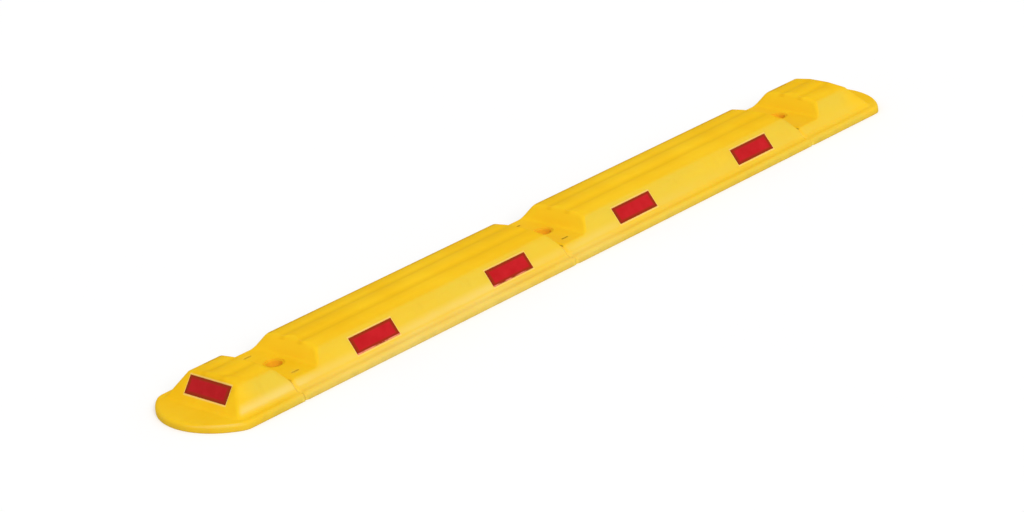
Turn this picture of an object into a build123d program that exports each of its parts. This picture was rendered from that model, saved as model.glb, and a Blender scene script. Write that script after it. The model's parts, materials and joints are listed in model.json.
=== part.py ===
from build123d import *
from math import atan2, ceil, cos, degrees, pi, radians, sin, sqrt, tan
import os

# Low modular lane barrier: two hollow ridge sections between two rounded end pieces.
# Each piece hooks over its left-hand neighbour. A saddle at the left of a section lies on a tongue
# at the right of the piece before it, and a hollow spigot on the tongue is the upright pivot and
# the sleeve for a ground anchor. X runs along the row, Z is up, and the origin is on the ground
# under the middle pivot. Sizes are in millimetres and angles in degrees.

# Row
pitch = 500.0                   # pivot to pivot
end_reach = 170.0               # outer pivot to the rounded tip

# Cross-section
base_width = 167.0              # across the flange
flange_width = 13.0             # edge of the flange to the foot of the side face
flange_height = 10.0
flange_round = 5.0              # upper edge of the flange
crest_height = 41.0             # side edges of the crown above the ground
ridge_height = 46.0             # top of the middle rib above the ground
side_angle = 53.0               # side and end faces, from the ground
foot_round = 7.0                # hollow between flange and side face
crest_round = 5.0               # upper edges of the ridge
wall = 3.5                      # moulded skin, thinner at the bevelled seam

# Ribs along the crown
groove_offset = 16.5            # groove to centre line
groove_depth = 2.7
groove_round = 16.0             # bottom of the groove
crown_skim = 0.3                # taken off the blank over the highest rib
rib_edge = 2.5                  # crest edge to the foot of the outer rib
rib_step = 1.1                  # depth of the line along that foot
rib_edge_round = 1.0            # bottom of that line
rib_fade = 40.0                 # length over which the ribs fade out towards a tip

# Saddles
saddle_height = 23.0            # saddle floor above the ground
saddle_open = 28.5              # pivot to the open edge of the saddle floor
saddle_foot = 19.5              # pivot to the foot of the saddle wall
saddle_angle = 55.0             # saddle walls and shoulders, from the ground
saddle_foot_round = 10.0
saddle_crest_round = 12.0
slot_length = 12.0              # drain slots through the saddle floor
slot_width = 2.8
slot_lead = 5.0                 # pivot back to the middle of the slots
slot_offset = 44.0              # slots to centre line

# Rounded ends
tip_bulge = 44.7                # how far the arc across the tip bows out
tip_corner = 22.0               # radius of the flange outline beside the tip
tip_flange = 44.0               # tip to the foot of the end face
end_corner = 8.0                # radius between the end face and the side faces
rim_bands = 4                   # bands that round the upper edge of the flange

# Pivots
turn = 1.3                      # each way
seam = 0.3                      # saddle edge to the neighbour's shoulder, on the centre line
bevel_depth = 2.8               # outer edge of the saddle along that seam
bevel_run = 7.0
anchor_bore = 22.0
spigot_wall = 2.5
running_clearance = 0.05        # spigot to saddle, on the radius
spigot_drop = 1.0               # spigot top below the saddle floor
boss_wall = 4.0                 # boss around the spigot
lap_gap = 0.4                   # tongue to saddle
lip_wall = 3.0
lip_reach = 12.0                # lip beyond the shoulder
tab_margin = 3.0                # tab around the boss
tab_thickness = 3.0

# Webs under the skin
web_thickness = 3.0
web_lift = 2.0                  # web edges above the ground
web_spacing = 90.0              # at most, between webs across a piece
web_offset = 30.0               # lengthwise webs, from the centre line
web_clearance = 10.0            # lengthwise webs to the neighbour's tongue

# Reflectors
reflector_length = 75.0
reflector_height = 24.0
reflector_thickness = 1.2
reflector_spacing = 250.0
reflector_rise = 19.3           # foot of the side face to the middle of its reflectors, up the slope
end_reflector_rise = 24.8       # the same on the end faces
pocket_depth = 0.7
pocket_clearance = 0.5

# Worked out from the sizes above
side = radians(side_angle)
slope = radians(saddle_angle)
blank_height = ridge_height + crown_skim
cut_height = blank_height + wall
shoulder = saddle_open + seam
half_base = base_width / 2
half_foot = half_base - flange_width
half_crest = half_foot - (crest_height - flange_height) / tan(side)
crown_fall = (blank_height - crest_height) / (half_crest - groove_offset)
skin_drop = crown_skim + groove_depth + wall
tip_radius = (half_base**2 + tip_bulge**2) / (2 * tip_bulge)
end_foot = end_reach - tip_flange
crown_end = end_foot - (ridge_height - flange_height) / tan(side)
lip_skin = wall + lap_gap + shoulder * sin(radians(turn))
lip_top = saddle_height - wall - lap_gap
spigot_diameter = anchor_bore + 2 * spigot_wall
boss_diameter = spigot_diameter + 2 * boss_wall
tab_width = boss_diameter + 2 * tab_margin
web_start = tab_width / 2 + web_clearance
row_length = 2 * (pitch + end_reach)
across = 2 * base_width
touch = 1e-3


def rounded(sketch, corners, radius):
    """Round the given corners of a flat outline."""
    def listed(vertex):
        return any((Vector(*vertex) - Vector(*corner)).length < touch for corner in corners)

    return fillet(sketch.vertices().filter_by(listed), radius)


def along_row(outline, x_from, x_to):
    """Prism along X from an outline drawn in (y, z)."""
    return Pos(x_from, 0, 0) * extrude(Plane.YZ * outline, amount=x_to - x_from, dir=(1, 0, 0))


def across_row(outline):
    """Prism along Y from an outline drawn in (x, z)."""
    return extrude(Plane.XZ * outline, amount=across / 2, both=True)


def side_foot(skin, z):
    """Half width between the side faces at height z, moved inwards by skin."""
    return half_foot - skin / sin(side) - (z - flange_height) / tan(side)


def cross_section(skin, top):
    """Outline across the row in (y, z), moved inwards by skin and cut level at top."""
    edge = half_base - skin
    step = flange_height - skin
    flange = [(edge, 0), (edge, step), (side_foot(skin, step), step)]
    right = flange if step > 0 else [(side_foot(skin, 0), 0)]
    right = right + [(side_foot(skin, top), top)]
    left = [(-y, z) for y, z in reversed(right)]
    return Polygon(*right, *left, align=None)


def moulded_section():
    """Outer cross-section, with the flange edge and the foot of the side face rounded."""
    outline = cross_section(0, cut_height)
    outline = rounded(outline, [(half_base, flange_height), (-half_base, flange_height)], flange_round)
    return rounded(outline, [(half_foot, flange_height), (-half_foot, flange_height)], foot_round)


def crown_height(y):
    """Height of the blank's crown at y: level between the grooves, then falling to the crest edges."""
    return blank_height - crown_fall * max(abs(y) - groove_offset, 0)


def crown(drop):
    """Prism along the row with the blank's crown as its top, lowered by drop."""
    top = [(y, crown_height(y) - drop) for y in (-half_base, -groove_offset, groove_offset, half_base)]
    outline = Polygon((half_base, -wall), *reversed(top), (-half_base, -wall), align=None)
    return along_row(outline, -row_length / 2, row_length / 2)


def left_profile(kind, x, skin):
    """Side view of a left end, going up: a saddle over the pivot at x, or clear of a tip at x."""
    if kind == "tip":
        return [(x - wall, 0), (x - wall, cut_height)]
    foot = x + saddle_foot + skin * tan(slope / 2)
    crest = x + saddle_foot + skin / sin(slope) + (cut_height - saddle_height) / tan(slope)
    start = x - saddle_open - skin
    return [(start, 0), (start, saddle_height - skin), (foot, saddle_height - skin), (crest, cut_height)]


def right_profile(kind, x, skin):
    """Side view of a right end, going down: a shoulder at the pivot at x, or clear of a tip at x."""
    if kind == "tip":
        return [(x + wall, cut_height), (x + wall, 0)]
    end = x - shoulder
    crest = end - skin / sin(slope) - (cut_height - saddle_height) / tan(slope)
    knee = saddle_height + (skin - skin / sin(slope)) * tan(slope)
    return [(crest, cut_height), (end - skin, knee), (end - skin, 0)]


def side_view(left, right, skin):
    """Outline of a piece in (x, z) between two ends, moved inwards by skin."""
    outline = Polygon(*left_profile(*left, skin), *right_profile(*right, skin), align=None)
    if skin or left[0] == "tip":
        return outline
    return rounded(outline, [(left[1] + saddle_foot, saddle_height)], saddle_foot_round)


def end_plan(skin):
    """Flange outline of an end piece in plan, its tip towards -X and its pivot at the origin."""
    front = tip_radius - skin
    corner = tip_corner - skin
    edge = half_base - skin
    centre_x = skin - end_reach + front
    corner_x = centre_x - sqrt((front - corner) ** 2 - (edge - corner) ** 2)
    lean = atan2(edge - corner, corner_x - centre_x)
    middle = (lean + pi / 2) / 2
    start = (corner_x, edge)
    bend = (corner_x + corner * cos(middle), edge - corner + corner * sin(middle))
    meet = (centre_x + front * cos(lean), front * sin(lean))
    tip = (centre_x - front, 0)
    back = end_reach
    outline = [
        Line((back, -edge), (back, edge)),
        Line((back, edge), start),
        ThreePointArc(start, bend, meet),
        ThreePointArc(meet, tip, (meet[0], -meet[1])),
        ThreePointArc((meet[0], -meet[1]), (bend[0], -bend[1]), (start[0], -start[1])),
        Line((start[0], -start[1]), (back, -edge)),
    ]
    return make_face(Curve() + outline)


def end_ridge(skin, bottom):
    """Ridge of an end piece: a block with sloping sides, end face and rounded corners."""
    def at_corner(edge):
        return edge.center().X < 0 and abs(edge.tangent_at(0.5).Z) > touch

    front = -end_foot + skin / sin(side) + (bottom - flange_height) / tan(side)
    half = side_foot(skin, bottom)
    plan = Polygon((front, -half), (end_reach, -half), (end_reach, half), (front, half), align=None)
    block = Pos(0, 0, bottom) * extrude(plan, amount=cut_height - bottom, taper=90 - side_angle)
    return fillet(block.edges().filter_by(at_corner), end_corner - skin)


def end_plate():
    """Flange of an end piece, its upper edge rounded in narrow bands, tip towards -X."""
    plate = extrude(end_plan(0), amount=flange_height - flange_round, dir=(0, 0, 1))
    for band in range(rim_bands):
        start, finish = [radians(90 * step / rim_bands) for step in (band, band + 1)]
        level = flange_height - flange_round * (1 - sin(start))
        rise = flange_round * (sin(finish) - sin(start))
        outline = end_plan(flange_round * (1 - cos(start)))
        plate += Pos(0, 0, level) * extrude(outline, amount=rise, taper=degrees(start + finish) / 2)
    return plate


def end_blank():
    """Flange and ridge of an end piece, joined by a hollow fillet, tip towards -X."""
    def at_foot(edge):
        point = edge.position_at(0.5)
        inside = abs(point.Y) < half_foot + touch and point.X > -end_foot - touch
        return abs(point.Z - flange_height) < touch and inside and point.X < end_reach / 2 - touch

    kept = Pos(-end_reach / 2, 0, 0) * Box(2 * end_reach, across, across)
    blank = (end_plate() + end_ridge(0, flange_height)) & kept
    return fillet(blank.edges().filter_by(at_foot), foot_round)


def end_cavity():
    """Hollow of an end piece before its webs, tip towards -X."""
    low = extrude(end_plan(wall), amount=flange_height - wall, dir=(0, 0, 1))
    return low + end_ridge(wall, 0)


def wall_edges(solid, left, right):
    """Edges where the saddle wall and the shoulder meet the crown."""
    pivots = [x for kind, x in (left, right) if kind == "pivot"]

    def at_pivot(edge):
        middle = edge.position_at(0.5)
        near = any(abs(middle.X - x) < end_reach / 2 for x in pivots)
        return near and abs(edge.tangent_at(0.5).Y) > 0.5 and middle.Z > crest_height

    return solid.edges().filter_by(at_pivot)


def crest_edges(solid, tip_side):
    """Edges where the sloping side faces, and the end face, meet the crown and the saddle walls."""
    def leans(face):
        normal = face.normal_at()
        outward = abs(normal.Y) > sin(side) / 2 or normal.X * tip_side > touch
        return normal.Z > touch and outward

    def spans(face):
        return face.normal_at().Z > touch and face.center().Z > flange_height + touch and not leans(face)

    upper = [edge for face in solid.faces().filter_by(spans) for edge in face.edges()]
    lower = [edge for face in solid.faces().filter_by(leans) for edge in face.edges()]
    return [edge for edge in lower if any(edge.is_same(other) for other in upper)]


def rib_cutter(left, right):
    """What is cut off the blank's crown to leave three rounded ribs, fading out towards a tip."""
    edge = half_crest - rib_edge
    outer = (groove_offset + edge) / 2
    clear = blank_height + groove_depth
    foot = (edge, crown_height(edge) - rib_step)
    top = (outer, crown_height(outer) - crown_skim)
    groove = (groove_offset, ridge_height - groove_depth)
    far_foot, far_top, far_groove = [(-y, z) for y, z in (foot, top, groove)]
    outline = make_face(
        Curve()
        + [
            ThreePointArc(far_foot, far_top, far_groove),
            ThreePointArc(far_groove, (0, ridge_height), groove),
            ThreePointArc(groove, top, foot),
            Polyline(foot, (edge, clear), (-edge, clear), far_foot),
        ]
    )
    outline = rounded(outline, [far_groove, groove], groove_round)
    outline = rounded(outline, [far_foot, foot], rib_edge_round)
    x_from, x_to = left[1], right[1]
    low = crest_height - wall
    ramp = [(x_from, clear), (x_from, low), (x_to, low), (x_to, clear)]
    if left[0] == "tip":
        fade = right[1] - crown_end
        ramp[:2] = [(fade, clear), (fade, blank_height), (fade + rib_fade, low)]
    if right[0] == "tip":
        fade = left[1] + crown_end
        ramp[2:] = [(fade - rib_fade, low), (fade, blank_height), (fade, clear)]
    return along_row(outline, x_from, x_to) & across_row(Polygon(*ramp, align=None))


def swing_cutter(x):
    """Trims the saddle's left edge to a shallow V that lets it swing."""
    edge = x - saddle_open
    sweep = across * tan(radians(turn))
    vee = Polygon(
        (edge, 0),
        (edge + sweep, across),
        (edge - base_width, across),
        (edge - base_width, -across),
        (edge + sweep, -across),
        align=None,
    )
    return extrude(vee, amount=saddle_height + touch, dir=(0, 0, 1))


def bevelled(body):
    """Bevel the outer edge of the saddle along the seam."""
    def at_seam(face):
        return face.normal_at().X < touch - 1

    def outside(edge):
        return edge.center().Z > touch

    face = body.faces().filter_by(at_seam)[0]
    return chamfer(face.edges().filter_by(outside), bevel_depth, length2=bevel_run, reference=face)


def outer_form(left, right):
    """Outside of a piece, from its left end to its right end, before it is hollowed."""
    if "tip" in (left[0], right[0]):
        blank = end_blank()
        blank = mirror(blank, Plane.YZ) if right[0] == "tip" else blank
        pivot = right[1] if left[0] == "tip" else left[1]
        blank = Pos(pivot, 0, 0) * blank
    else:
        blank = along_row(moulded_section(), left[1] - saddle_open, right[1] - shoulder)
    body = blank & crown(0) & across_row(side_view(left, right, 0))
    tip_side = (right[0] == "tip") - (left[0] == "tip")
    body = fillet(wall_edges(body, left, right), saddle_crest_round)
    body = fillet(crest_edges(body, tip_side), crest_round)
    if left[0] == "pivot":
        body = bevelled(body) - swing_cutter(left[1])
    return body - rib_cutter(left, right)


def webs(left, right):
    """Upright webs under the skin, across the piece and along it."""
    x_from = left[1] + (web_start if left[0] == "pivot" else 0)
    x_to = right[1] - (shoulder if right[0] == "pivot" else 0)
    if left[0] == "tip":
        cross_from, cross_to = right[1] - end_foot, x_to
    elif right[0] == "tip":
        cross_from, cross_to = x_from, left[1] + end_foot
    else:
        cross_from, cross_to = x_from, x_to
    lift = web_lift + across / 2
    cells = ceil((cross_to - cross_from) / web_spacing)
    step = (cross_to - cross_from) / cells
    bars = [
        Pos(cross_from + step * i, 0, lift) * Box(web_thickness, across, across)
        for i in range(1, cells)
    ]
    for hand in (-1, 1):
        middle = Pos((x_from + x_to) / 2, hand * web_offset, lift)
        bars.append(middle * Box(x_to - x_from, web_thickness, across))
    return bars


def hollow(left, right):
    """Space under the skin, open below and under the saddle, less its webs."""
    if "tip" in (left[0], right[0]):
        space = end_cavity()
        space = mirror(space, Plane.YZ) if right[0] == "tip" else space
        space = Pos(right[1] if left[0] == "tip" else left[1], 0, 0) * space
    else:
        space = along_row(cross_section(wall, cut_height), left[1] - pitch, right[1])
    space = space & crown(skin_drop) & across_row(side_view(left, right, wall))
    for bar in webs(left, right):
        space -= bar
    return space


def drain_slots(x):
    """Cutters for the slots through the floor of a section's saddle, one near each side."""
    slot = extrude(SlotOverall(slot_length, slot_width), amount=3 * wall)
    return [Pos(x - slot_lead, hand * slot_offset, saddle_height - 2 * wall) * slot for hand in (-1, 1)]


def tongue(x):
    """Lip, tab and hollow spigot that reach under the next piece's saddle."""
    end = x - shoulder
    lip = along_row(cross_section(lip_skin, lip_top), end - wall / 2, end + lip_reach)
    inside = cross_section(lip_skin + lip_wall, lip_top - tab_thickness)
    lip -= along_row(inside, end - wall, end + lip_reach + wall)
    tab_level = lip_top - tab_thickness / 2
    half_tab = shoulder + wall / 2
    tab = Pos(x - half_tab / 2, 0, tab_level) * Box(half_tab, tab_width, tab_thickness)
    tab += Pos(x, 0, tab_level) * Cylinder(tab_width / 2, tab_thickness)
    upright = (Align.CENTER, Align.CENTER, Align.MIN)
    boss = Pos(x, 0, 0) * Cylinder(boss_diameter / 2, lip_top - tab_thickness / 2, align=upright)
    spigot = Pos(x, 0, 0) * Cylinder(spigot_diameter / 2, saddle_height - spigot_drop, align=upright)
    bore = Pos(x, 0, 0) * Cylinder(anchor_bore / 2, across)
    return lip + tab + boss + spigot - bore


def side_seat(x, hand):
    """Plane on a side face, at the middle of a reflector: hand -1 is the -Y face."""
    y = half_foot - reflector_rise * cos(side)
    z = flange_height + reflector_rise * sin(side)
    return Plane((x, hand * y, z), (1, 0, 0), (0, hand * sin(side), cos(side)))


def end_seat(pivot, hand):
    """Plane on an end face, at the middle of its reflector: hand -1 is the -X end."""
    x = end_foot - end_reflector_rise * cos(side)
    z = flange_height + end_reflector_rise * sin(side)
    return Plane((pivot + hand * x, 0, z), (0, 1, 0), (hand * sin(side), 0, cos(side)))


def pocket(seat):
    """Shallow recess for a reflector."""
    length = reflector_length + 2 * pocket_clearance
    height = reflector_height + 2 * pocket_clearance
    return seat * Box(length, height, 2 * pocket_depth)


def reflector(seat):
    """Flat reflecting strip on the floor of its pocket."""
    level = reflector_thickness / 2 - pocket_depth
    return seat * Pos(0, 0, level) * Box(reflector_length, reflector_height, reflector_thickness)


def piece(left, right, seats):
    """One hollow moulding with its saddle, its tongue and its reflector pockets."""
    body = outer_form(left, right) - hollow(left, right)
    if left[0] == "pivot":
        body -= Pos(left[1], 0, 0) * Cylinder(spigot_diameter / 2 + running_clearance, across)
    if right[0] == "pivot":
        body += tongue(right[1])
    if left[0] == right[0]:
        for slot in drain_slots(left[1]):
            body -= slot
    for seat in seats:
        body -= pocket(seat)
    return body


def main():
    pivots = (-pitch, 0.0, pitch)
    tips = (pivots[0] - end_reach, pivots[2] + end_reach)
    ends = {
        "front_end_piece": (("tip", tips[0]), ("pivot", pivots[0])),
        "ridge_section_1": (("pivot", pivots[0]), ("pivot", pivots[1])),
        "ridge_section_2": (("pivot", pivots[1]), ("pivot", pivots[2])),
        "rear_end_piece": (("pivot", pivots[2]), ("tip", tips[1])),
    }
    seats = {
        "front_end_piece": {"front_reflector": end_seat(pivots[0], -1)},
        "rear_end_piece": {"rear_reflector": end_seat(pivots[2], 1)},
    }
    for section, (start, finish) in (("1", pivots[:2]), ("2", pivots[1:])):
        middle = (start + saddle_foot + finish - shoulder) / 2
        seats[f"ridge_section_{section}"] = {
            f"{flank}_reflector_{section}{letter}": side_seat(middle + shift * reflector_spacing / 2, hand)
            for flank, hand in (("near", -1), ("far", 1))
            for letter, shift in (("a", -1), ("b", 1))
        }

    os.makedirs("parts", exist_ok=True)
    for name, (left, right) in ends.items():
        export_step(piece(left, right, seats[name].values()), f"parts/{name}.step")
        for strip, seat in seats[name].items():
            export_step(reflector(seat), f"parts/{strip}.step")


main()
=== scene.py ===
import json
from math import cos, hypot, radians, sin

import bpy
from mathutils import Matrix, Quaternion, Vector


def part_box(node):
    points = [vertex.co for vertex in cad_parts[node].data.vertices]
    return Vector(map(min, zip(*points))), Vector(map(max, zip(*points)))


# Looks of the low lane barrier: moulded yellow plastic with red reflecting strips, on a pale floor.
# Lengths are in metres, angles in degrees and colours are linear. The row lies along X with its front
# end at -X, and the side that the photograph shows faces -Y.
# A range holds the start and end of a ramp, then the shares there where they aren't 0 and 1.
# A noise holds its scale, then its detail and roughness where they aren't the usual ones.

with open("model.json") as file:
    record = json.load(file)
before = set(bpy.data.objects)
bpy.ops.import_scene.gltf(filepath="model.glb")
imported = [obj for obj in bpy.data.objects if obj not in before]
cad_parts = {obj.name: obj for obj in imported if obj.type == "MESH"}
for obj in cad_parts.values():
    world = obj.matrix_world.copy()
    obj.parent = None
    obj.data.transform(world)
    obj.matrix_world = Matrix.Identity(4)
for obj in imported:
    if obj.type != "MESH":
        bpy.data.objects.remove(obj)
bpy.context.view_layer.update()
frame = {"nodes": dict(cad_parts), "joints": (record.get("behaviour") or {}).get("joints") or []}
nodes = frame["nodes"]

# Camera at the photograph's angle
AIM = Vector((-0.0464, 0.0179, 0.0))    # where its axis meets the floor
DISTANCE = 4.7116
AZIMUTH = 44.27                         # from straight along +Y, towards +X
ELEVATION = 21.13
ROLL = -6.86
FOCAL_MM = 123.25
SENSOR_MM = 36.0

# Light and floor
AMBIENT = 0.72                          # world, as it lights the object
KEY_FROM = Vector((-0.30, -0.74, 0.60))
KEY_SPREAD = 34.0                       # apparent width of the lamp
KEY_STRENGTH = 1.40
FLOOR_RADIUS = 40.0
FLOOR_SIDES = 96
FLOOR_COLOUR = 0.72
FLOOR_UNEVEN = 0.005
FLOOR_NOISE = (3.0,)
FLOOR_ROUGHNESS = 0.9
FLOOR_FILL = 0.295                      # lifts the floor to white where it is seen or mirrored
COVER_REACH = 0.050                     # the fill stops where the row covers the floor this closely
COVER_RANGE = (0.10, 0.50)
COVER_SAMPLES = 2

# Colours of the plastic
YELLOW_DEEP = (0.88, 0.495, 0.008)
# the lighter tone also serves as painted light on the saddle walls
YELLOW_LIGHT = (0.93, 0.570, 0.016)
YELLOW_GROOVE_SHADE = (0.80, 0.440, 0.008)    # painted shade between the ribs
YELLOW_BORE_LIGHT = (0.98, 0.510, 0.022)      # painted warm bounce light inside the anchor bores
YELLOW_BED_SHADE = (0.88, 0.490, 0.018)       # painted shade on the floors of the middle and rear saddles
YELLOW_RUBBED = (1.00, 0.620, 0.160)    # edges and pocket rims
YELLOW_PAINTED_SHEEN = (0.75, 0.550, 0.060)      # painted sheen on the sloping sides
YELLOW_PAINTED_HIGHLIGHT = (0.86, 0.630, 0.160)      # painted highlight on the flange, the foot of the sides and the tips' rims
# painted light in the seams, then painted shade beside the saddle floors and in the drain slots
SEAM_PAINTED_LIGHT = (0.98, 0.700, 0.090)
SEAM_PAINTED_SHADE = (0.30, 0.150, 0.006)
# dust and painted shade, darker towards the ground
ROAD_DUST_AND_SHADE = (0.46, 0.360, 0.075)

# Lines that several marks share
FLANGE_TOP = 0.0105                     # heights
FOOT_PALEST = 0.0155
SADDLE_TOP = 0.0245                     # with a margin
BORE_LINE = 0.0150                      # distances to the centre line
SADDLE_EDGE = 0.060
BLEND = 0.001                           # width over which a mark ends at such a line

# Base tone: mottling, shifted by streaks along the row and by specks
MOTTLE_NOISE = (11.0, 3.0, 0.55)
STREAK_STRETCH = (6.0, 70.0, 70.0)
STREAK_NOISE = (1.0, 3.0, 0.6)
STREAK_SHARE = 0.20
SPECK_NOISE = (1400.0, 1.0)
SPECK_SHARE = 0.20
TONE_RANGE = (0.45, 1.0)

# Painted sheen on the sloping sides, in patches
PATCH_STRETCH = (7.0, 24.0, 24.0)
PATCH_NOISE = (1.0, 3.0)
SHEEN_TURN = (0.15, 0.75)                # how far a face turns sideways
SHEEN_PATCHES = (0.2, 0.8, 0.4, 0.8)
SHEEN_ENDS = (0.612, 0.570, 0.3, 1.0)    # less on the end pieces' tips
SHEEN_NEAR = (0.02, -0.02, 0.4, 1.0)     # less on the far side

# Painted highlight on the flange and the foot of the sides, which fades towards the rear
FLANGE_HEIGHT = (FOOT_PALEST, FLANGE_TOP)
FLANGE_OUT = (0.060, 0.066)             # distance to the centre line
FLANGE_ALONG = (-0.57, -0.45)           # starts behind the front tip
FLANGE_SHARE = 0.95
FOOT_TURN = (0.40, 0.75)
FOOT_UPPER = (0.026, FOOT_PALEST)
FOOT_LOWER = (0.009, FOOT_PALEST)
PALE_PATCHES = (0.3, 0.7, 0.45, 1.0)
PALE_ALONG = (0.32, -0.30, 0.08, 1.0)

# Painted highlight along the rim of the tips' flange, on the quarters between end and side
TIP_STEEP = (0.98, 0.85)
TIP_FLAT = (0.45, 0.75)
TIP_HEIGHT = (FLANGE_TOP + BLEND, FLANGE_TOP)
TIP_END = (0.62, 0.64)
TIP_QUARTER = (0.08, 0.22)

# Saddles: painted light on the walls, and painted shade on the floors at the middle and rear joints
INNER_ROW = (0.56, 0.54)                # between the end pieces' slopes
WALL_TURN = (-0.10, -0.50)
WALL_SHARE = 0.9
WALL_FOOT = (SADDLE_TOP - BLEND, SADDLE_TOP)
WALL_RISE = (SADDLE_TOP, 0.036, 0.45, 1.0)  # up to the crown's edge
BED_FLAT = (0.93, 0.98)
BED_ALONG = (-0.45, -0.05)
BED_UPPER = (SADDLE_TOP + BLEND, SADDLE_TOP)
BED_LOWER = (0.018, 0.020)
BED_SEAM = (0.044, 0.004, 0.40, 1.0)    # distance to the seam

# Painted shade in the grooves between the ribs and in the drain slots, and painted light in the anchor
# bores
GROOVE_LINE = 0.0165                    # distance to the centre line
GROOVE_WIDTH = (0.008, 0.0)
GROOVE_HEIGHT = (0.039, 0.040)
GROOVE_SHARE = 0.55
UPRIGHT = (0.50, 0.20)                  # how far a face turns upwards
BORE_EDGE = (BORE_LINE, BORE_LINE - BLEND)
BORE_CLEAR = (BORE_LINE, 2 * BORE_LINE)  # keeps the sides' marks out of the bores
SLOT_LINE = 0.044                       # distance to the centre line
SLOT_WIDTH = (0.0025, 0.0020)
SLOT_HEIGHT = (0.015, 0.017)
SLOT_SHARE = 0.5

# Rubbed edges and pocket rims
RUBBED_EDGE = (0.995, 0.90)             # how alike the true and the rounded facing are
RUBBED_OPEN = (0.65, 0.90, 0.0, 0.6)
RUBBED_PATCHES = (0.35, 0.65, 0.8, 1.0)
RUBBED_STEEP = (0.90, 0.75)
RUBBED_FLAT = (0.20, 0.35)
POCKET_RIM = (0.0022, 0.0022 / 3)       # distance to a strip's box

# Seams, with painted light in them, and painted shade beside the saddle floors
SEAM_LEAD = 0.0280                      # seams to the pivots
SEAM_WIDTH = (0.007, 0.0035)
SEAM_HOLLOW = (0.95, 0.50)
SEAM_OUT = (SADDLE_EDGE, SADDLE_EDGE + 3 * BLEND)
MARK_WIDTH = (0.004, 0.002)
MARK_INNER = (0.042, 0.050)
MARK_OUTER = (SADDLE_EDGE + BLEND, SADDLE_EDGE - 2 * BLEND)
MARK_SHARE = 0.8
MARK_HEIGHT = (0.0255, 0.0240)
SHADE_ALONG = (-0.40, -0.10, 0.45, 1.0)  # less at the front joint

# Dust and painted shade near the ground, gloss and relief
GRIME_NOISE = (60.0, 5.0, 0.65)
DUST_HEIGHT = (0.012, 0.0)
DUST_PATCHES = (0.40, 0.75, 0.15, 0.45)
ROUGHNESS = 0.36
GRIME_ROUGHENS = 0.14
DUST_ROUGHENS = 0.5
COAT = 0.04
COAT_ROUGHNESS = 0.30
SKIN_SHARE = 0.12                       # light that goes under the skin
SKIN_SCATTER = (0.004, 0.0016, 0.0002)
EDGE_RADIUS = 0.0022
EDGE_SAMPLES = 6
SOFT_RADIUS = 0.012                     # crests and the end pieces' corners
SOFT_SAMPLES = 8
HOLLOW_REACH = 0.010
HOLLOW_SAMPLES = 8
CREST_OUT = (0.030, 0.040)
CREST_HEIGHT = (0.024, 0.030)
CORNER_END = (0.560, 0.580)
CORNER_HEIGHT = (0.015, 0.027)
WAVE_NOISE = (22.0, 2.0)
WAVE_DEPTH = 0.0016
GRAIN_NOISE = (850.0, 2.0, 0.6)
GRAIN_DEPTH = 0.00012
GRAIN_STRENGTH = 0.35

# Reflecting strips
RED_FACE = (0.480, 0.0065, 0.0100)
RED_BRIGHT = (0.560, 0.0110, 0.0170)
RED_RIM = (0.290, 0.0240, 0.0010)
RED_LIP = (0.900, 0.2600, 0.1800)       # pale cut edge along the bottom
END_TONE = 0.88                         # the strips at the ends are duller
CLOUD_NOISE = (45.0, 3.0, 0.6)
CLOUD_RANGE = (0.30, 0.75)
CELL = 0.0030                           # cells of the sheeting
CELL_TURN = 45.0
CELL_LINE = (0.09, 0.03)
CELL_SHARE = 0.22
RIM = 0.0045                            # sealed edge of the sheeting, at the top
SIDE_RIM = 0.0062                       # the same at the ends and the foot
RIM_RANGE = (RIM, RIM * 0.5, 0.0, 0.9)
LIP = 0.0026
LIP_RANGE = (LIP, LIP * 0.6)
LIP_BREAKS = (0.35, 0.60)
LIP_ALONG = (0.05, -0.05)               # on the first section only
SMEAR_STRETCH = (1.0, 2.0, 5.0)
SMEAR_NOISE = (80.0, 4.0, 0.6)
SMEAR_RELIEF = 0.25
STRIP_RELIEF = 0.00015
RELIEF_STRENGTH = 0.25
STRIP_ROUGHNESS = 0.20
SMEAR_ROUGHENS = 0.16
STRIP_COAT = 0.16
STRIP_COAT_ROUGHNESS = 0.16
STRIP_BEVEL = 0.0005
STRIP_SAMPLES = 4


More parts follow.
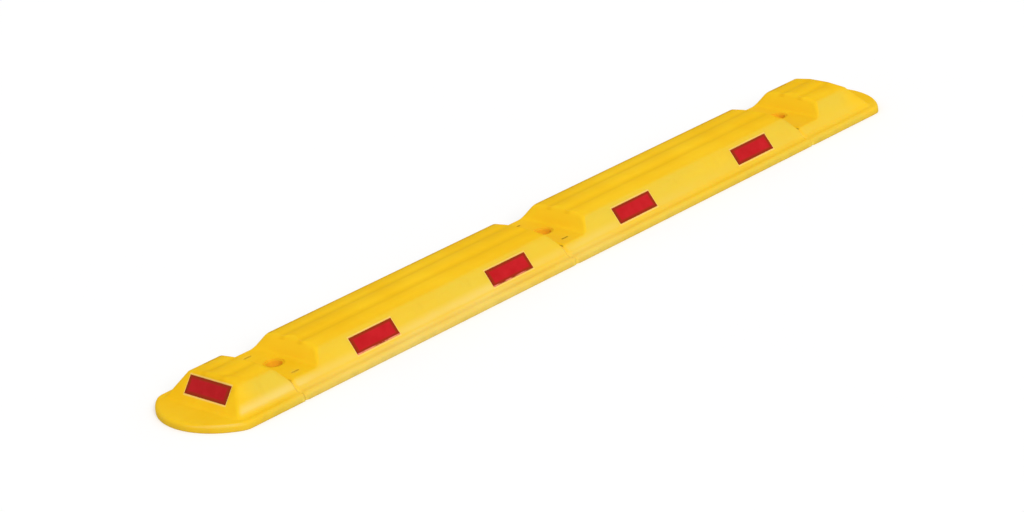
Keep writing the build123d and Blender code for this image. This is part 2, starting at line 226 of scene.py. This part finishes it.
class Graph:
    """The nodes of one material or world, with short ways to add and join them."""

    def __init__(self, owner):
        owner.use_nodes = True
        self.tree = owner.node_tree
        self.tree.nodes.clear()

    def add(self, kind, inputs=None, **settings):
        node = self.tree.nodes.new(kind)
        for name, value in settings.items():
            setattr(node, name, value)
        for key, value in (inputs or {}).items():
            if isinstance(value, bpy.types.NodeSocket):
                self.tree.links.new(value, node.inputs[key])
            else:
                node.inputs[key].default_value = value
        return node

    def math(self, operation, first, second=0.0, third=0.0, clamp=False):
        inputs = {0: first, 1: second, 2: third}
        return self.add("ShaderNodeMath", inputs, operation=operation, use_clamp=clamp).outputs[0]

    def product(self, first, *others):
        for other in others:
            first = self.math("MULTIPLY", first, other)
        return first

    def apart(self, value, line):
        return self.math("ABSOLUTE", self.math("SUBTRACT", value, line))

    def ramp(self, value, start, end, low=0.0, high=1.0):
        inputs = {"Value": value, "From Min": start, "From Max": end, "To Min": low, "To Max": high}
        return self.add("ShaderNodeMapRange", inputs, interpolation_type="SMOOTHSTEP").outputs[0]

    def mix(self, share, first, second):
        inputs = {0: share}
        for place, value in ((6, first), (7, second)):
            inputs[place] = value if isinstance(value, bpy.types.NodeSocket) else (*value, 1.0)
        return self.add("ShaderNodeMix", inputs, data_type="RGBA").outputs[2]

    def vector(self, operation, first, second=(0.0, 0.0, 0.0)):
        return self.add("ShaderNodeVectorMath", {0: first, 1: second}, operation=operation).outputs

    def parts(self, vector):
        return list(self.add("ShaderNodeSeparateXYZ", {0: vector}).outputs)

    def noise(self, place, scale, detail=2.0, roughness=0.5):
        inputs = {"Vector": place, "Scale": scale, "Detail": detail, "Roughness": roughness}
        return self.add("ShaderNodeTexNoise", inputs).outputs[0]

    def stretched(self, place, scale):
        return self.add("ShaderNodeMapping", {"Vector": place, "Scale": scale}).outputs[0]

    def rounded(self, radius, samples):
        return self.add("ShaderNodeBevel", {"Radius": radius}, samples=samples).outputs[0]

    def covered(self, distance, samples):
        return self.add("ShaderNodeAmbientOcclusion", {"Distance": distance}, samples=samples).outputs["AO"]

    def bump(self, height, depth, strength, normal):
        inputs = {"Strength": strength, "Distance": depth, "Height": height, "Normal": normal}
        return self.add("ShaderNodeBump", inputs).outputs[0]

    def shade(self, settings):
        """Finish a material with the main shader."""
        shader = self.add("ShaderNodeBsdfPrincipled", settings)
        self.add("ShaderNodeOutputMaterial", {"Surface": shader.outputs[0]})


class Spot:
    """Where a point of the plastic lies and how it faces, as sockets of a graph."""

    def __init__(self, graph):
        self.place = graph.add("ShaderNodeTexCoord").outputs["Object"]
        self.x, self.y, self.z = graph.parts(self.place)
        self.outward = graph.math("ABSOLUTE", self.y)
        self.endward = graph.math("ABSOLUTE", self.x)
        self.inner = graph.ramp(self.endward, *INNER_ROW)
        self.seam = seam_distance(graph, self.x)
        self.normal = graph.add("ShaderNodeNewGeometry").outputs["Normal"]
        self.turn_x, self.turn_y, self.turn_z = graph.parts(self.normal)
        self.crisp = graph.rounded(EDGE_RADIUS, EDGE_SAMPLES)
        self.soft = graph.rounded(SOFT_RADIUS, SOFT_SAMPLES)
        sideways = graph.math("ABSOLUTE", graph.parts(self.soft)[1])
        self.sideways = graph.product(sideways, graph.ramp(self.outward, *BORE_CLEAR))
        self.upright = graph.product(graph.ramp(self.turn_z, *UPRIGHT), self.inner)
        self.openness = graph.covered(HOLLOW_REACH, HOLLOW_SAMPLES)
        self.mottle = graph.noise(self.place, *MOTTLE_NOISE)


def seen_rays(graph):
    """1 for rays from the camera, mirrors and glass, which show the white background."""
    path = graph.add("ShaderNodeLightPath").outputs
    seen = graph.math("ADD", path["Is Camera Ray"], path["Is Glossy Ray"])
    return graph.math("ADD", seen, path["Is Transmission Ray"], clamp=True)


def pocket_rims(graph, place):
    """1 along the rims of the strips' pockets, fading outwards."""
    nearest = 1.0
    for name in nodes:
        if "reflector" not in name:
            continue
        low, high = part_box(name)
        offset = graph.vector("SUBTRACT", place, (low + high) / 2)[0]
        offset = graph.vector("ABSOLUTE", offset)[0]
        x, y, z = graph.parts(graph.vector("SUBTRACT", offset, (high - low) / 2)[0])
        reach = graph.math("MAXIMUM", graph.math("MAXIMUM", x, y), z)
        nearest = graph.math("MINIMUM", nearest, reach)
    return graph.ramp(nearest, *POCKET_RIM)


def seam_distance(graph, along):
    """Distance along the row to the nearest seam between two pieces."""
    nearest = 1.0
    for joint in frame["joints"]:
        nearest = graph.math("MINIMUM", nearest, graph.apart(along, joint["pos_m"][0] - SEAM_LEAD))
    return nearest


def mottled_yellow(graph, spot):
    """Base tone of the plastic."""
    streaks = graph.noise(graph.stretched(spot.place, STREAK_STRETCH), *STREAK_NOISE)
    specks = graph.noise(spot.place, *SPECK_NOISE)
    shift = graph.math("MULTIPLY_ADD", streaks, STREAK_SHARE, spot.mottle)
    shift = graph.math("MULTIPLY_ADD", specks, SPECK_SHARE, shift)
    return graph.mix(graph.ramp(shift, *TONE_RANGE), YELLOW_DEEP, YELLOW_LIGHT)


def painted_sheen_and_highlights(graph, spot, colour):
    """Painted sheen on the sloping sides, and painted highlights on the flange, the foot and the rim around
    the tips.
    """
    patches = graph.noise(graph.stretched(spot.place, PATCH_STRETCH), *PATCH_NOISE)
    painted_sheen = graph.product(
        graph.ramp(spot.sideways, *SHEEN_TURN),
        graph.ramp(patches, *SHEEN_PATCHES),
        graph.ramp(spot.endward, *SHEEN_ENDS),
        graph.ramp(spot.y, *SHEEN_NEAR),
    )
    flange = graph.product(
        graph.ramp(spot.z, *FLANGE_HEIGHT),
        FLANGE_SHARE,
        graph.ramp(spot.outward, *FLANGE_OUT),
        graph.ramp(spot.x, *FLANGE_ALONG),
    )
    foot = graph.product(
        graph.ramp(spot.sideways, *FOOT_TURN),
        graph.ramp(spot.z, *FOOT_UPPER),
        graph.ramp(spot.z, *FOOT_LOWER),
    )
    pale = graph.product(
        graph.math("MAXIMUM", flange, foot),
        graph.ramp(patches, *PALE_PATCHES),
        graph.ramp(spot.x, *PALE_ALONG),
    )
    tip = graph.product(
        graph.ramp(spot.turn_z, *TIP_STEEP),
        graph.ramp(spot.turn_z, *TIP_FLAT),
        graph.ramp(spot.z, *TIP_HEIGHT),
        graph.ramp(spot.endward, *TIP_END),
        graph.ramp(graph.product(spot.turn_x, spot.turn_y), *TIP_QUARTER),
    )
    # painted sheen first, then the painted highlights over it
    colour = graph.mix(painted_sheen, colour, YELLOW_PAINTED_SHEEN)
    return graph.mix(graph.math("MAXIMUM", pale, tip), colour, YELLOW_PAINTED_HIGHLIGHT)


def painted_saddle_light_and_shade(graph, spot, colour):
    """Painted light on the saddle walls that runs softly into painted shade on the saddle floors."""
    wall = graph.product(
        graph.ramp(spot.turn_x, *WALL_TURN),
        spot.inner,
        WALL_SHARE,
        graph.ramp(spot.z, *WALL_FOOT),
        graph.ramp(spot.z, *WALL_RISE),
    )
    bed = graph.product(
        graph.ramp(spot.turn_z, *BED_FLAT),
        graph.ramp(spot.x, *BED_ALONG),
        graph.ramp(spot.z, *BED_UPPER),
        graph.ramp(spot.z, *BED_LOWER),
        graph.ramp(spot.seam, *BED_SEAM),
    )
    colour = graph.mix(wall, colour, YELLOW_LIGHT)
    return graph.mix(bed, colour, YELLOW_BED_SHADE)


def painted_hollow_shade_and_light(graph, spot, colour):
    """Painted shade in the grooves between the ribs, and painted warm bounce light inside the anchor bores.
    """
    groove = graph.product(
        graph.ramp(graph.apart(spot.outward, GROOVE_LINE), *GROOVE_WIDTH),
        graph.ramp(spot.z, *GROOVE_HEIGHT),
        GROOVE_SHARE,
    )
    bore = graph.product(spot.upright, graph.ramp(spot.outward, *BORE_EDGE))
    colour = graph.mix(groove, colour, YELLOW_GROOVE_SHADE)
    return graph.mix(bore, colour, YELLOW_BORE_LIGHT)


def rubbed_edges(graph, spot, colour):
    """Pale rubbed edges and pocket rims, on slopes alone."""
    alike = graph.vector("DOT_PRODUCT", spot.crisp, spot.normal)["Value"]
    edges = graph.product(graph.ramp(alike, *RUBBED_EDGE), graph.ramp(spot.openness, *RUBBED_OPEN))
    rubbed = graph.product(
        graph.math("MAXIMUM", edges, pocket_rims(graph, spot.place)),
        graph.ramp(spot.mottle, *RUBBED_PATCHES),
        graph.ramp(spot.turn_z, *RUBBED_STEEP),
        graph.ramp(spot.turn_z, *RUBBED_FLAT),
    )
    return graph.mix(rubbed, colour, YELLOW_RUBBED)


def painted_joint_light_and_shade(graph, spot, colour):
    """Painted light in the seams on the sides, and painted shade beside the saddle floors and in the slots.
    """
    painted_seam_light = graph.product(
        graph.ramp(spot.seam, *SEAM_WIDTH),
        graph.ramp(spot.openness, *SEAM_HOLLOW),
        graph.ramp(spot.outward, *SEAM_OUT),
    )
    marks = graph.product(
        graph.ramp(spot.seam, *MARK_WIDTH),
        graph.ramp(spot.outward, *MARK_INNER),
        graph.ramp(spot.outward, *MARK_OUTER),
        MARK_SHARE,
        graph.ramp(spot.z, *MARK_HEIGHT),
    )
    slots = graph.product(
        graph.ramp(graph.apart(spot.outward, SLOT_LINE), *SLOT_WIDTH),
        graph.ramp(spot.z, *SLOT_HEIGHT),
        SLOT_SHARE,
        spot.upright,
    )
    # painted shade beside the saddle floors and in the slots, less at the front joint
    painted_shade = graph.product(graph.math("MAXIMUM", marks, slots), graph.ramp(spot.x, *SHADE_ALONG))
    colour = graph.mix(painted_seam_light, colour, SEAM_PAINTED_LIGHT)
    return graph.mix(painted_shade, colour, SEAM_PAINTED_SHADE)


def eased_surface(graph, spot):
    """Facing of the plastic: soft crests and end corners, slight waves and fine grain."""
    crest = graph.product(graph.ramp(spot.outward, *CREST_OUT), graph.ramp(spot.z, *CREST_HEIGHT))
    corner = graph.product(graph.ramp(spot.endward, *CORNER_END), graph.ramp(spot.z, *CORNER_HEIGHT))
    easing = {0: graph.math("MAXIMUM", crest, corner), 4: spot.crisp, 5: spot.soft}
    eased = graph.add("ShaderNodeMix", easing, data_type="VECTOR").outputs[1]
    eased = graph.vector("NORMALIZE", eased)[0]
    surface = graph.bump(graph.noise(spot.place, *WAVE_NOISE), WAVE_DEPTH, 1.0, eased)
    return graph.bump(graph.noise(spot.place, *GRAIN_NOISE), GRAIN_DEPTH, GRAIN_STRENGTH, surface)


def moulded_plastic():
    """Satin polyethylene, mottled yellow, rubbed on edges and dusty at the ground, with painted light and
    shade.
    """
    material = bpy.data.materials.new("yellow_moulded_plastic")
    graph = Graph(material)
    spot = Spot(graph)
    colour = mottled_yellow(graph, spot)
    for layer in (painted_sheen_and_highlights, painted_saddle_light_and_shade, painted_hollow_shade_and_light, rubbed_edges, painted_joint_light_and_shade):
        colour = layer(graph, spot, colour)
    grime = graph.noise(spot.place, *GRIME_NOISE)
    # dust and painted shade, darker towards the ground in patches
    dust_and_shade = graph.product(graph.ramp(spot.z, *DUST_HEIGHT), graph.ramp(grime, *DUST_PATCHES))
    gloss = graph.math("MULTIPLY_ADD", grime, GRIME_ROUGHENS, ROUGHNESS)
    graph.shade({
        "Base Color": graph.mix(dust_and_shade, colour, ROAD_DUST_AND_SHADE),
        "Roughness": graph.math("MULTIPLY_ADD", dust_and_shade, DUST_ROUGHENS, gloss),
        "Normal": eased_surface(graph, spot),
        "Specular IOR Level": 0.0,
        "Coat Weight": COAT,
        "Coat Roughness": COAT_ROUGHNESS,
        "Subsurface Weight": SKIN_SHARE,
        "Subsurface Radius": SKIN_SCATTER,
        "Subsurface Scale": 1.0,
    })
    return material


def cell_lines(graph, lengthwise, upwards):
    """1 along the lines between the sheeting's cells, which stand on their corners."""
    sheet = graph.add("ShaderNodeCombineXYZ", {0: lengthwise, 1: upwards}).outputs[0]
    turning = {"Vector": sheet, "Rotation": (0.0, 0.0, radians(CELL_TURN)), "Scale": (1.0 / CELL,) * 3}
    turned = graph.add("ShaderNodeMapping", turning).outputs[0]
    cells = graph.add(
        "ShaderNodeTexVoronoi",
        {"Vector": turned, "Scale": 1.0, "Randomness": 0.0},
        voronoi_dimensions="2D",
        feature="DISTANCE_TO_EDGE",
    ).outputs["Distance"]
    return graph.ramp(cells, *CELL_LINE)


def reflecting_sheet(name, along, size, tone, lip_share):
    """Red prismatic sheeting with fine cells and a dark sealed rim. Its length runs along one axis."""
    material = bpy.data.materials.new(name)
    graph = Graph(material)
    coordinates = graph.add("ShaderNodeTexCoord").outputs
    place = graph.add("ShaderNodeSeparateXYZ", {0: coordinates["Generated"]}).outputs
    lengthwise = graph.math("MULTIPLY", place[along], size[0])
    upwards = graph.math("MULTIPLY", place["Z"], size[1])
    to_end = graph.math("MINIMUM", lengthwise, graph.math("SUBTRACT", size[0], lengthwise))
    to_side = graph.math("MULTIPLY", graph.math("MINIMUM", to_end, upwards), RIM / SIDE_RIM)
    to_edge = graph.math("MINIMUM", to_side, graph.math("SUBTRACT", size[1], upwards))
    lines = cell_lines(graph, lengthwise, upwards)
    cloud = graph.noise(coordinates["Object"], *CLOUD_NOISE)
    smears = graph.noise(graph.stretched(coordinates["Object"], SMEAR_STRETCH), *SMEAR_NOISE)

    face, bright = [[tone * part for part in red] for red in (RED_FACE, RED_BRIGHT)]
    colour = graph.mix(graph.ramp(cloud, *CLOUD_RANGE), face, bright)
    colour = graph.mix(graph.math("MULTIPLY", lines, CELL_SHARE), colour, bright)
    colour = graph.mix(graph.ramp(to_edge, *RIM_RANGE), colour, RED_RIM)
    lip = graph.product(
        graph.ramp(upwards, *LIP_RANGE),
        graph.ramp(cloud, *LIP_BREAKS),
        lip_share,
        graph.ramp(graph.parts(coordinates["Object"])[0], *LIP_ALONG),
    )
    relief = graph.math("MULTIPLY_ADD", smears, SMEAR_RELIEF, lines)
    rounded = graph.rounded(STRIP_BEVEL, STRIP_SAMPLES)
    graph.shade({
        "Base Color": graph.mix(lip, colour, RED_LIP),
        "Roughness": graph.math("MULTIPLY_ADD", smears, SMEAR_ROUGHENS, STRIP_ROUGHNESS),
        "Normal": graph.bump(relief, STRIP_RELIEF, RELIEF_STRENGTH, rounded),
        "Specular IOR Level": 0.0,
        "Coat Weight": STRIP_COAT,
        "Coat Roughness": STRIP_COAT_ROUGHNESS,
    })
    return material


def pale_floor():
    """Matt white floor that takes the shadow."""
    material = bpy.data.materials.new("pale_floor")
    graph = Graph(material)
    place = graph.add("ShaderNodeTexCoord").outputs["Object"]
    tones = (FLOOR_COLOUR - FLOOR_UNEVEN, FLOOR_COLOUR + FLOOR_UNEVEN)
    tone = graph.ramp(graph.noise(place, *FLOOR_NOISE), 0.0, 1.0, *tones)
    bare = graph.ramp(graph.covered(COVER_REACH, COVER_SAMPLES), *COVER_RANGE)
    graph.shade({
        "Base Color": graph.add("ShaderNodeCombineColor", {0: tone, 1: tone, 2: tone}).outputs[0],
        "Roughness": FLOOR_ROUGHNESS,
        "Specular IOR Level": 0.0,
        "Emission Color": (1.0, 1.0, 1.0, 1.0),
        "Emission Strength": graph.product(seen_rays(graph), bare, FLOOR_FILL),
    })
    return material


def wear(name, material):
    """Give a CAD node one material all over."""
    slots = nodes[name].data.materials
    slots.clear()
    slots.append(material)


def strip_size(name, axis):
    """Length of a strip along its axis, and its height up the slope that it lies on."""
    low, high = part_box(name)
    span = high - low
    return span[axis], hypot(span[1 - axis], span.z)


def dress_row():
    """Materials of every piece of the row."""
    plastic = moulded_plastic()
    sheets = {}
    for name in nodes:
        if "reflector" not in name:
            wear(name, plastic)
            continue
        axis = 1 if name in ("front_reflector", "rear_reflector") else 0
        if axis not in sheets:
            along, tone, lip = ("Y", END_TONE, 0.0) if axis else ("X", 1.0, 1.0)
            size = strip_size(name, axis)
            sheets[axis] = reflecting_sheet(f"red_sheeting_{along}", along, size, tone, lip)
        wear(name, sheets[axis])


def lay_floor():
    """Large round floor under the row."""
    bpy.ops.mesh.primitive_circle_add(vertices=FLOOR_SIDES, radius=FLOOR_RADIUS, fill_type="NGON")
    floor = bpy.context.object
    floor.name = "floor"
    floor.data.materials.append(pale_floor())


def light_room():
    """Even white surroundings, and one large soft lamp beside and above the camera."""
    world = bpy.data.worlds.new("studio")
    graph = Graph(world)
    strength = graph.ramp(seen_rays(graph), 0.0, 1.0, AMBIENT, 1.0)
    sky = graph.add("ShaderNodeBackground", {"Color": (1.0, 1.0, 1.0, 1.0), "Strength": strength})
    graph.add("ShaderNodeOutputWorld", {"Surface": sky.outputs[0]})
    bpy.context.scene.world = world

    lamp = bpy.data.lights.new("key", "SUN")
    lamp.angle = radians(KEY_SPREAD)
    lamp.energy = KEY_STRENGTH
    key = bpy.data.objects.new("key", lamp)
    bpy.context.scene.collection.objects.link(key)
    key.location = KEY_FROM
    key.rotation_euler = (-KEY_FROM).to_track_quat("-Z", "Y").to_euler()


def set_camera():
    """Camera at the photograph's angle and framing."""
    data = bpy.data.cameras.new("camera")
    data.sensor_width = SENSOR_MM
    data.lens = FOCAL_MM
    camera = bpy.data.objects.new("camera", data)
    bpy.context.scene.collection.objects.link(camera)
    turn, rise = radians(AZIMUTH), radians(ELEVATION)
    ahead = Vector((sin(turn) * cos(rise), cos(turn) * cos(rise), -sin(rise)))
    camera.location = AIM - ahead * DISTANCE
    camera.rotation_mode = "QUATERNION"
    camera.rotation_quaternion = ahead.to_track_quat("-Z", "Y") @ Quaternion((0, 0, 1), radians(ROLL))
    bpy.context.scene.camera = camera


dress_row()
lay_floor()
light_room()
set_camera()
bpy.context.scene.view_settings.view_transform = "Standard"
